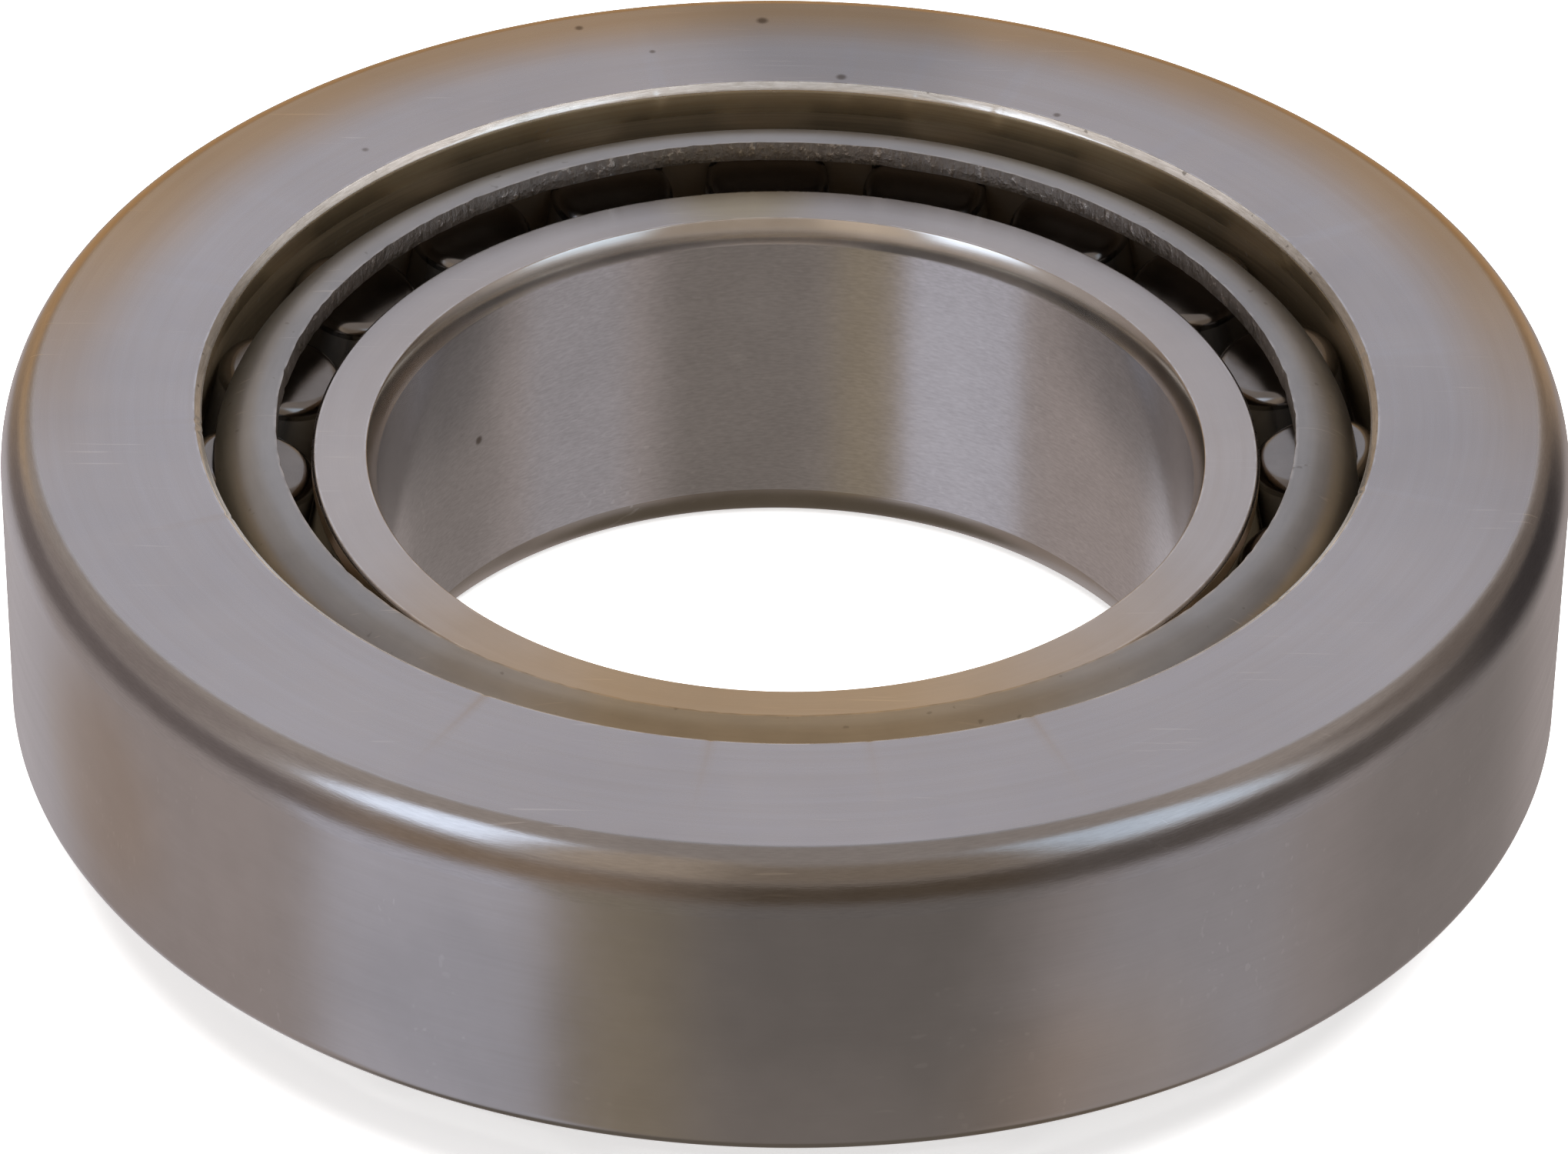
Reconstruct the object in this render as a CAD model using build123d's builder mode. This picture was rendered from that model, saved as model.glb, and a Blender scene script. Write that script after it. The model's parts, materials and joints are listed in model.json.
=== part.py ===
from build123d import *
import os
from math import asin, atan, cos, degrees, radians, sin, sqrt, tan

# Single-row tapered roller bearing, in millimetres. +Z is the bearing axis. The origin is the centre
# of the inner ring's back face, which the bearing stands on, and the outer ring's back face is on top.

# Boundary dimensions
outer_diameter = 85.0
bore_diameter = 44.45
bearing_width = 23.7
outer_ring_width = 18.4
inner_ring_width = 20.3

# Rolling geometry: both raceways and all the roller axes meet in one apex on the bearing axis.
roller_count = 20
first_roller_angle = 2.5
outer_raceway_angle = 14.5
roller_axis_angle = 12.9
raceway_small_radius = 31.55
roller_small_end_height = 19.54
roller_length = 14.4
roller_corner = 0.75
roller_dome_radius = 135.0
running_clearance = 0.08

# Outer ring corners
back_corner_radial = 1.95
back_corner_axial = 3.2
inner_edge_radial = 0.4
inner_edge_axial = 0.35
front_corner = 1.0
front_lip_chamfer = 0.5

# Inner ring corners, ribs and grinding reliefs
small_rib_radius = 25.75
small_rib_gap = 0.35
small_rib_edge = 0.15
large_rib_height = 2.4
large_rib_chamfer = 0.6
bore_front_radial = 0.55
bore_front_axial = 1.45
bore_front_arc = 3.5
bore_back_radial = 1.0
bore_back_axial = 2.0
bore_back_arc = 4.0
relief_depth = 0.3
relief_width = 0.9

# Pressed cage
sheet = 1.2
cage_inner_radius = 27.6
cage_top_height = 22.3
cage_bottom_height = 2.9
cage_bend_radius = 3.0
cage_gap = 1.27
window_end_gap = 0.3
window_side_gap = 0.15
window_corner = 0.6

# Derived values
outer_radius = outer_diameter / 2
bore_radius = bore_diameter / 2
raceway_top = bearing_width - inner_edge_axial
outer_ring_front = bearing_width - outer_ring_width
roller_half_taper = outer_raceway_angle - roller_axis_angle
inner_raceway_angle = roller_axis_angle - roller_half_taper
apex_height = raceway_top + raceway_small_radius / tan(radians(outer_raceway_angle))
near_end = (apex_height - roller_small_end_height) / cos(radians(roller_axis_angle))
far_end = near_end + roller_length
clearance_angle = degrees(atan(running_clearance / (near_end + roller_length / 2)))
roller_side_angle = roller_half_taper - clearance_angle


def outer_raceway(height):
    """Radius of the outer raceway at a height."""
    return (apex_height - height) * tan(radians(outer_raceway_angle))


def inner_raceway(height):
    """Radius of the inner raceway at a height."""
    return (apex_height - height) * tan(radians(inner_raceway_angle))


def beside_axis(distance, offset):
    """(radius, height) of a point at a distance from the apex and an offset out from a roller's axis."""
    lean = radians(roller_axis_angle)
    radius = distance * sin(lean) + offset * cos(lean)
    height = apex_height - distance * cos(lean) + offset * sin(lean)
    return radius, height


def window_half_width(distance):
    """Half a cage window's width, with the side gap where the roller meets the sheet's inner surface."""
    roller_radius = distance * tan(radians(roller_side_angle))
    sheet_offset = distance * tan(radians(roller_half_taper)) - cage_gap - sheet
    return sqrt(roller_radius**2 - sheet_offset**2) + window_side_gap


def roller_angle(number):
    """Angle of a roller's centre about the bearing axis, in degrees."""
    return first_roller_angle + number * 360 / roller_count


def roller_plane(number, faces_out):
    """Plane at the apex with X along a roller's axis, and Z either outwards or along the ring."""
    lean = radians(roller_axis_angle)
    turn = radians(roller_angle(number))
    along = Vector(sin(lean) * cos(turn), sin(lean) * sin(turn), -cos(lean))
    outwards = Vector(cos(lean) * cos(turn), cos(lean) * sin(turn), sin(lean))
    across = along.cross(outwards)
    return Plane(origin=(0, 0, apex_height), x_dir=along, z_dir=outwards if faces_out else across)


# Outer ring: plain outside, one conical raceway, and a large rounded corner at its back face.
with BuildPart() as outer_ring:
    with BuildSketch(Plane.XZ) as outer_ring_profile:
        with BuildLine():
            inner_edge = raceway_small_radius + inner_edge_radial
            flat_edge = outer_radius - back_corner_radial
            corner_start = bearing_width - back_corner_axial
            lip_height = outer_ring_front + front_lip_chamfer
            lip_foot = outer_raceway(outer_ring_front) + front_lip_chamfer
            Line((raceway_small_radius, raceway_top), (inner_edge, bearing_width))
            Line((inner_edge, bearing_width), (flat_edge, bearing_width))
            EllipticalCenterArc(
                (flat_edge, corner_start),
                back_corner_radial,
                back_corner_axial,
                start_angle=0,
                arc_size=90,
            )
            Line((outer_radius, corner_start), (outer_radius, outer_ring_front + front_corner))
            RadiusArc(
                (outer_radius, outer_ring_front + front_corner),
                (outer_radius - front_corner, outer_ring_front),
                front_corner,
            )
            Line((outer_radius - front_corner, outer_ring_front), (lip_foot, outer_ring_front))
            Line((lip_foot, outer_ring_front), (outer_raceway(lip_height), lip_height))
            Line((outer_raceway(lip_height), lip_height), (raceway_small_radius, raceway_top))
        make_face()
    revolve(axis=Axis.Z)
outer_ring.part.label = "outer_ring"

# Inner ring: conical raceway between a low rib at its front and a high guiding rib at its back, with a
# grinding relief at the foot of each rib. Each end of the bore opens out in an arc that meets the straight
# bore at an edge.
with BuildPart() as inner_ring:
    with BuildSketch(Plane.XZ) as inner_ring_profile:
        with BuildLine():
            small_face = near_end - small_rib_gap
            large_face = far_end + running_clearance
            small_foot = beside_axis(small_face, -small_face * tan(radians(roller_half_taper)))
            large_foot = beside_axis(large_face, -large_face * tan(radians(roller_half_taper)))
            rib_slope = tan(radians(roller_axis_angle))
            rib_reach = large_rib_height * cos(radians(roller_axis_angle))
            large_rib_radius = large_foot[0] + rib_reach
            large_rib_top = large_foot[1] + rib_reach * rib_slope
            small_rib_foot = small_foot[1] + (small_rib_radius - small_foot[0]) * rib_slope
            race_start = small_foot[1] - relief_width
            race_end = large_foot[1] + relief_width
            large_relief_top = (
                large_foot[0] + relief_width / 2,
                large_foot[1] + relief_width / 2 * rib_slope,
            )
            Line((bore_radius, bore_back_axial), (bore_radius, inner_ring_width - bore_front_axial))
            RadiusArc(
                (bore_radius, inner_ring_width - bore_front_axial),
                (bore_radius + bore_front_radial, inner_ring_width),
                bore_front_arc,
            )
            Polyline(
                (bore_radius + bore_front_radial, inner_ring_width),
                (small_rib_radius - small_rib_edge, inner_ring_width),
                (small_rib_radius, inner_ring_width - small_rib_edge),
                (small_rib_radius, small_rib_foot),
                small_foot,
            )
            ThreePointArc(
                small_foot,
                (
                    inner_raceway(small_foot[1] - relief_width / 2) - relief_depth,
                    small_foot[1] - relief_width / 2,
                ),
                (inner_raceway(race_start), race_start),
            )
            Line((inner_raceway(race_start), race_start), (inner_raceway(race_end), race_end))
            ThreePointArc(
                (inner_raceway(race_end), race_end),
                (large_foot[0] - relief_depth, large_foot[1]),
                large_relief_top,
            )
            Polyline(
                large_relief_top,
                (large_rib_radius, large_rib_top),
                (large_rib_radius, large_rib_chamfer),
                (large_rib_radius - large_rib_chamfer, 0),
                (bore_radius + bore_back_radial, 0),
            )
            RadiusArc(
                (bore_radius + bore_back_radial, 0),
                (bore_radius, bore_back_axial),
                bore_back_arc,
            )
        make_face()
    revolve(axis=Axis.Z)
inner_ring.part.label = "inner_ring"

# Cage: one sheet pressed into a cone, turned inwards over the small ends of the rollers, with a window
# for each roller. The bars lie outside the roller axes, and the windows are narrower than the rollers,
# so that the cage holds the rollers on the inner ring when the outer ring is lifted off.
with BuildPart() as cage:
    with BuildSketch(Plane.XZ) as cage_profile:
        with BuildLine():
            wall_lean = radians(outer_raceway_angle)
            wall_reach = outer_raceway(0) * cos(wall_lean) - cage_gap
            bend_height = cage_top_height - cage_bend_radius
            bend_radius = (wall_reach - cage_bend_radius - bend_height * sin(wall_lean)) / cos(wall_lean)
            inner_bend = cage_bend_radius - sheet
            outer_foot = (wall_reach - cage_bottom_height * sin(wall_lean)) / cos(wall_lean)
            inner_foot = outer_foot - sheet / cos(wall_lean)
            outer_tangent = (
                bend_radius + cage_bend_radius * cos(wall_lean),
                bend_height + cage_bend_radius * sin(wall_lean),
            )
            inner_tangent = (
                bend_radius + inner_bend * cos(wall_lean),
                bend_height + inner_bend * sin(wall_lean),
            )
            Line((cage_inner_radius, cage_top_height), (bend_radius, cage_top_height))
            CenterArc(
                (bend_radius, bend_height),
                cage_bend_radius,
                start_angle=outer_raceway_angle,
                arc_size=90 - outer_raceway_angle,
            )
            Polyline(
                outer_tangent,
                (outer_foot, cage_bottom_height),
                (inner_foot, cage_bottom_height),
                inner_tangent,
            )
            CenterArc(
                (bend_radius, bend_height),
                inner_bend,
                start_angle=outer_raceway_angle,
                arc_size=90 - outer_raceway_angle,
            )
            Polyline(
                (bend_radius, cage_top_height - sheet),
                (cage_inner_radius, cage_top_height - sheet),
                (cage_inner_radius, cage_top_height),
            )
        make_face()
    revolve(axis=Axis.Z)
    window_start = near_end - window_end_gap
    window_stop = far_end + window_end_gap
    window_reach = window_stop * tan(radians(roller_half_taper))
    for roller_number in range(roller_count):
        with BuildSketch(roller_plane(roller_number, faces_out=True)) as window:
            with BuildLine():
                Polyline(
                    (window_start, -window_half_width(window_start)),
                    (window_stop, -window_half_width(window_stop)),
                    (window_stop, window_half_width(window_stop)),
                    (window_start, window_half_width(window_start)),
                    close=True,
                )
            make_face()
            fillet(window.vertices(), radius=window_corner)
        extrude(amount=window_reach, mode=Mode.SUBTRACT)
cage.part.label = "cage"


def make_roller(number):
    """One tapered roller with rounded corners and a slightly domed large end, lying in its window."""
    plane = roller_plane(number, faces_out=False)
    side = tan(radians(roller_side_angle))
    small_radius = near_end * side
    large_radius = far_end * side
    dome_edge = large_radius - roller_corner
    dome_arc = asin(dome_edge / roller_dome_radius)
    dome_rise = roller_dome_radius * (1 - cos(dome_arc))
    corner_middle = roller_corner * (1 - cos(radians(45)))
    with BuildPart() as roller:
        with BuildSketch(plane):
            with BuildLine():
                Polyline((far_end, 0), (near_end, 0), (near_end, small_radius - roller_corner))
                ThreePointArc(
                    (near_end, small_radius - roller_corner),
                    (near_end + corner_middle, small_radius - corner_middle),
                    (near_end + roller_corner, (near_end + roller_corner) * side),
                )
                Line(
                    (near_end + roller_corner, (near_end + roller_corner) * side),
                    (far_end - dome_rise - roller_corner, (far_end - dome_rise - roller_corner) * side),
                )
                ThreePointArc(
                    (far_end - dome_rise - roller_corner, (far_end - dome_rise - roller_corner) * side),
                    (far_end - dome_rise - corner_middle, large_radius - corner_middle),
                    (far_end - dome_rise, dome_edge),
                )
                CenterArc(
                    (far_end - roller_dome_radius, 0),
                    roller_dome_radius,
                    start_angle=0,
                    arc_size=degrees(dome_arc),
                )
            make_face()
        revolve(axis=Axis(plane.origin, plane.x_dir))
    roller.part.label = f"roller_{number + 1:02d}"
    return roller.part


rollers = [make_roller(number) for number in range(roller_count)]

os.makedirs("parts", exist_ok=True)
for piece in [outer_ring.part, inner_ring.part, cage.part] + rollers:
    export_step(piece, f"parts/{piece.label}.step")
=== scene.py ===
import json
from math import asin, atan, atan2, cos, pi, radians, sin, sqrt, tan

import bpy
import numpy as np
from mathutils import Matrix, Vector


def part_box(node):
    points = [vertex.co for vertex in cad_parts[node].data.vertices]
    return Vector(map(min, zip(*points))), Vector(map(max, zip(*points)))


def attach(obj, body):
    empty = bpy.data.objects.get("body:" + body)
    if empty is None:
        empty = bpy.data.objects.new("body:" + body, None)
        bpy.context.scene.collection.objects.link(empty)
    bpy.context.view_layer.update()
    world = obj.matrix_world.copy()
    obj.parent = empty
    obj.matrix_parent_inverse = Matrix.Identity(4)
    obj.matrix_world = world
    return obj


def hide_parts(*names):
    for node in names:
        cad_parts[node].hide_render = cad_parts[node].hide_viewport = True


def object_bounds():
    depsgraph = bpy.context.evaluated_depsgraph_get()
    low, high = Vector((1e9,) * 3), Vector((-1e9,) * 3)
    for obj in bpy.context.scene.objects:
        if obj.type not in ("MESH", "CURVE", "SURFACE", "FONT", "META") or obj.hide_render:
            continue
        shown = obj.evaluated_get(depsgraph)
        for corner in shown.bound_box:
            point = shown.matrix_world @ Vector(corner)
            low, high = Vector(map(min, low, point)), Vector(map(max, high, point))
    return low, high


# A tapered roller bearing on a pale floor. Lengths are metres, in the CAD frame: +Z is the bearing's axis.
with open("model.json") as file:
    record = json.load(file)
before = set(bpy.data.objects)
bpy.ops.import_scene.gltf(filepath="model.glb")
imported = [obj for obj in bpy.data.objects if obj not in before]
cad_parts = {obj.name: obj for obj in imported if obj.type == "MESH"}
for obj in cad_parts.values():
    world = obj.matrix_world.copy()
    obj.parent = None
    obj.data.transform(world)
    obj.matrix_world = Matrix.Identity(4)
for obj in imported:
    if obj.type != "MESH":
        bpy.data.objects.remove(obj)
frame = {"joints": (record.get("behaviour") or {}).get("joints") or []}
cad_low, cad_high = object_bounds()
outer_low, outer_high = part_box("outer_ring")
_, inner_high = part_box("inner_ring")
cage_low, cage_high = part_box("cage")
roller_joints = [joint for joint in frame["joints"] if joint["child"].startswith("roller_")]
MM = 0.001
rng = np.random.default_rng(7)

# Rolling geometry: both raceways and all the roller axes meet in one apex on the bearing's axis.
OUTER_RACEWAY_ANGLE = radians(14.5)
ROLLER_AXIS_ANGLE = radians(12.9)
HALF_TAPER = OUTER_RACEWAY_ANGLE - ROLLER_AXIS_ANGLE
INNER_RACEWAY_ANGLE = ROLLER_AXIS_ANGLE - HALF_TAPER
RACEWAY_SMALL_RADIUS = 31.55 * MM
EDGE_RADIAL = 0.4 * MM
EDGE_AXIAL = 0.35 * MM
ROLLER_LENGTH = 14.4 * MM
CLEARANCE = 0.08 * MM
APEX = outer_high.z - EDGE_AXIAL + RACEWAY_SMALL_RADIUS / tan(OUTER_RACEWAY_ANGLE)
MIDDLE = (APEX - roller_joints[0]["pos_m"][2]) / cos(ROLLER_AXIS_ANGLE)
NEAR_END = MIDDLE - ROLLER_LENGTH / 2
FAR_END = MIDDLE + ROLLER_LENGTH / 2
ROLLER_SIDE = tan(HALF_TAPER - atan(CLEARANCE / MIDDLE))

# The rounding of an edge that only has its burr off, and the turn from which an edge is shaded as sharp.
SHARP = 0.06 * MM
SHARP_TURN = radians(32)


# ---------------------------------------------------------------- outlines and meshes


def outer_raceway(height):
    return (APEX - height) * tan(OUTER_RACEWAY_ANGLE)


def inner_raceway(height):
    return (APEX - height) * tan(INNER_RACEWAY_ANGLE)


def beside_axis(distance, offset):
    """(radius, height) of a point at a distance from the apex and an offset out from a roller's axis."""
    radius = distance * sin(ROLLER_AXIS_ANGLE) + offset * cos(ROLLER_AXIS_ANGLE)
    height = APEX - distance * cos(ROLLER_AXIS_ANGLE) + offset * sin(ROLLER_AXIS_ANGLE)
    return radius, height


def ellipse(centre, radial, axial, start, stop, finish, then, steps=14):
    """Outline points on an elliptical corner, between two angles in degrees. The last has the next finish."""
    points = []
    for k in range(steps + 1):
        turn = radians(start + (stop - start) * k / steps)
        radius = centre[0] + radial * cos(turn)
        height = centre[1] + axial * sin(turn)
        points.append((radius, height, 0, finish if k < steps else then))
    return points


def arc(start, end, radius, finish, steps=12):
    """Outline points from start up to, but without, end, on an arc that bulges to the left of the way."""
    start, end = Vector(start), Vector(end)
    chord = end - start
    aside = Vector((chord.y, -chord.x)).normalized()
    centre = (start + end) / 2 + aside * sqrt(radius**2 - (chord.length / 2) ** 2)
    first = atan2(start.y - centre.y, start.x - centre.x)
    sweep = (first - atan2(end.y - centre.y, end.x - centre.x)) % (2 * pi)
    points = []
    for k in range(steps):
        turn = first - sweep * k / steps
        points.append((centre.x + radius * cos(turn), centre.y + radius * sin(turn), 0, finish))
    return points


def rounded(corners, steps=4, most=0.4):
    """A closed outline through (radius, height, rounding, finish) corners, as (point, finish, edge) rows.

    A corner's finish lasts up to the next corner. A rounding takes at most a share of each side, and its edge
    value of 1 is where the steel wears bright.
    """
    rows = []
    count = len(corners)
    for k, (radius, height, rounding, finish) in enumerate(corners):
        here = Vector((radius, height))
        before = Vector(corners[k - 1][:2]) - here
        after = Vector(corners[(k + 1) % count][:2]) - here
        if rounding == 0 or radius == 0:
            rows.append((here, finish, 0.0))
            continue
        reach = min(rounding, most * before.length, most * after.length)
        first = here + before.normalized() * reach
        last = here + after.normalized() * reach
        for step in range(steps + 1):
            t = step / steps
            point = first * (1 - t) ** 2 + here * 2 * t * (1 - t) + last * t**2
            rows.append((point, corners[k - 1][3] if step < steps / 2 else finish, 1.0))
    return rows


def held(rows, gap=0.09 * MM):
    """The outline with a point close to each end of every long straight, which keeps the flats flat."""
    out = []
    long_enough = 6 * gap
    for k, (point, finish, edge) in enumerate(rows):
        after = rows[(k + 1) % len(rows)][0]
        step = after - point
        out.append((point, finish, edge))
        on_axis = point.x == 0 and after.x == 0
        if step.length > long_enough and not on_axis:
            along = step.normalized() * gap
            if point.x > 0:
                out.append((point + along, finish, 0.0))
            if after.x > 0:
                out.append((after - along, finish, 0.0))
    return out


def object_from(name, points, faces, finishes, materials, edges):
    """A smooth mesh object, with a finish number for each face and an edge value for each point."""
    mesh = bpy.data.meshes.new(name)
    mesh.from_pydata([tuple(p) for p in points], [], faces)
    for material in materials:
        mesh.materials.append(material)
    mesh.polygons.foreach_set("material_index", finishes)
    worn = mesh.attributes.new("edge", "FLOAT", "POINT")
    worn.data.foreach_set("value", np.array(edges, np.float32))
    mesh.update()
    mesh.shade_smooth()
    mesh.set_sharp_from_angle(angle=SHARP_TURN)
    made = bpy.data.objects.new(name, mesh)
    bpy.context.scene.collection.objects.link(made)
    return made


def without_loose(points, faces, edges):
    """A mesh's lists without the points that no face uses."""
    used = sorted({corner for face in faces for corner in face})
    number = {corner: k for k, corner in enumerate(used)}
    faces = [[number[corner] for corner in face] for face in faces]
    return [points[corner] for corner in used], faces, [edges[corner] for corner in used]


def revolve(name, rows, segments, finishes, wobble=None):
    """Turns a closed outline about Z. Points on the axis are shared, so that a solid piece closes there."""
    points, edges, rings = [], [], []
    for point, _, edge in rows:
        if point.x == 0:
            rings.append([len(points)] * segments)
            points.append((0, 0, point.y))
            edges.append(edge)
            continue
        rings.append(list(range(len(points), len(points) + segments)))
        for k in range(segments):
            turn = 2 * pi * k / segments
            radius, height = point.x, point.y
            if wobble:
                radius, height = wobble(radius, height, k, edge)
            points.append((radius * cos(turn), radius * sin(turn), height))
            edges.append(edge)
    faces, slots = [], []
    names = list(finishes)
    for k, ring in enumerate(rings):
        following = rings[(k + 1) % len(rings)]
        if rows[k][0].x == 0 and rows[(k + 1) % len(rows)][0].x == 0:
            continue
        for here in range(segments):
            there = (here + 1) % segments
            corners = list(dict.fromkeys((ring[here], ring[there], following[there], following[here])))
            faces.append(corners[::-1])
            slots.append(names.index(rows[k][1]))
    return object_from(name, points, faces, slots, [finishes[finish] for finish in names], edges)


# ---------------------------------------------------------------- materials

# How many times each noise repeats to the metre.
CLOUD_SCALE = 55.0
FINE_CLOUD_SCALE = 420.0
WEAR_SCALE = 900.0
PIT_SCALE = 1500.0
SCRATCH_SCALE = 160.0
SCRATCHED_AREA_SCALE = 130.0
LUMP_SCALE = 1700.0
DRAG_SCALE = 2600.0
FLOOR_SCALE = 40.0

MARK_DEPTH = 0.004 * MM
TEAR_DEPTH = 0.12 * MM
WORN_COLOUR = (0.86, 0.85, 0.84, 1)
SCRATCH_COLOUR = (0.82, 0.81, 0.80, 1)
PIT_COLOUR = (0.10, 0.085, 0.07, 1)


def add(tree, kind, inputs=None, **settings):
    """A new node, with its settings and its inputs: values, or sockets to link from."""
    made = tree.nodes.new(kind)
    for key, value in settings.items():
        setattr(made, key, value)
    for key, value in (inputs or {}).items():
        if isinstance(value, bpy.types.NodeSocket):
            tree.links.new(value, made.inputs[key])
        else:
            made.inputs[key].default_value = value
    return made


def calc(tree, operation, a, b=0.0, clamp=False):
    """One step of arithmetic on values or sockets."""
    return add(tree, "ShaderNodeMath", {0: a, 1: b}, operation=operation, use_clamp=clamp).outputs[0]


def spread(tree, value, low, high, to_low=0.0, to_high=1.0, smooth=True):
    """A value taken from one range to another, held at the ends."""
    made = add(
        tree,
        "ShaderNodeMapRange",
        {"Value": value, "From Min": low, "From Max": high, "To Min": to_low, "To Max": to_high},
        interpolation_type="SMOOTHSTEP" if smooth else "LINEAR",
    )
    return made.outputs["Result"]


def blend(tree, share, a, b, mode="MIX"):
    """The first colour, with a share of the second."""
    made = add(tree, "ShaderNodeMix", {0: share, 6: a, 7: b}, data_type="RGBA", blend_type=mode)
    return made.outputs[2]


def noise(tree, vector, scale, detail=2.0, rough=0.5, w=None):
    """Cloudy noise that repeats about this many times to the metre, or 4D noise where w is given."""
    made = add(tree, "ShaderNodeTexNoise", {"Vector": vector}, noise_dimensions="3D" if w is None else "4D")
    made.inputs["Scale"].default_value = scale
    made.inputs["Detail"].default_value = detail
    made.inputs["Roughness"].default_value = rough
    if w is not None:
        tree.links.new(w, made.inputs["W"])
    return made.outputs["Fac"]


def grain_field(tree, place, across, along, detail=3.0, rough=0.6):
    """Noise drawn out round the axis: it changes over a length across the marks, and slowly along them."""
    split = add(tree, "ShaderNodeSeparateXYZ", {0: place})
    flat = add(tree, "ShaderNodeCombineXYZ", {"X": split.outputs["X"], "Y": split.outputs["Y"]})
    radius = add(tree, "ShaderNodeVectorMath", {0: flat.outputs[0]}, operation="LENGTH").outputs["Value"]
    turn = add(tree, "ShaderNodeVectorMath", {0: flat.outputs[0]}, operation="NORMALIZE").outputs[0]
    turn = add(tree, "ShaderNodeSeparateXYZ", {0: turn})
    polar = add(
        tree,
        "ShaderNodeCombineXYZ",
        {
            "X": calc(tree, "MULTIPLY", turn.outputs["X"], along),
            "Y": calc(tree, "MULTIPLY", turn.outputs["Y"], along),
            "Z": calc(tree, "DIVIDE", radius, across),
        },
    )
    rise = calc(tree, "DIVIDE", split.outputs["Z"], across)
    return noise(tree, polar.outputs[0], 1.0, detail, rough, w=rise)


def scratch_field(tree, place, amount):
    """Long thin scratches in two directions, where a second noise lets them show."""
    both = None
    for lean, shift in ((0.5, 0.0), (2.2, 11.0)):
        drawn_out = add(
            tree,
            "ShaderNodeMapping",
            {"Vector": place, "Location": (shift, 0, 0), "Rotation": (0, 0, lean), "Scale": (1, 28, 9)},
        ).outputs[0]
        thin = spread(tree, noise(tree, drawn_out, SCRATCH_SCALE, 1.0, 0.4), 0.70, 0.76)
        both = thin if both is None else calc(tree, "MAXIMUM", both, thin)
    shown = spread(tree, noise(tree, place, SCRATCHED_AREA_SCALE, 1.0), 0.50, 0.66)
    return calc(tree, "MULTIPLY", calc(tree, "MULTIPLY", both, shown), amount)


def spotted(tree, colour, place, cloud, spots):
    """The colour with round spots of (tint, amount, centre, reach), whose outlines follow the clouds."""
    for tint, amount, centre, reach in spots:
        offset = add(tree, "ShaderNodeVectorMath", {0: place, 1: centre}, operation="DISTANCE")
        uneven = calc(tree, "MULTIPLY", calc(tree, "SUBTRACT", cloud, 0.5), reach * 0.7)
        away = calc(tree, "ADD", offset.outputs["Value"], uneven)
        share = spread(tree, away, reach, reach * 0.3, 0.0, amount)
        colour = blend(tree, share, colour, (*tint, 1), "MULTIPLY")
    return colour


def with_reflection_tint(tree, colour, place, cloud, reflection_tint):
    """The colour under a painted tan reflection that fades in outwards, backwards and upwards, over (from,
    to) ranges.
    """
    tint, (start, stop), (front, back), (low, high) = reflection_tint
    where = add(tree, "ShaderNodeSeparateXYZ", {0: place})
    flat = add(tree, "ShaderNodeVectorMath", {0: place, 1: (1, 1, 0)}, operation="MULTIPLY").outputs[0]
    radius = add(tree, "ShaderNodeVectorMath", {0: flat}, operation="LENGTH").outputs["Value"]
    share = spread(tree, calc(tree, "ADD", radius, calc(tree, "MULTIPLY", cloud, 2 * MM)), start, stop)
    share = calc(tree, "MULTIPLY", share, spread(tree, where.outputs["Y"], front, back))
    share = calc(tree, "MULTIPLY", share, spread(tree, where.outputs["Z"], low, high))
    return blend(tree, share, colour, (*tint, 1), "MULTIPLY")


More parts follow.
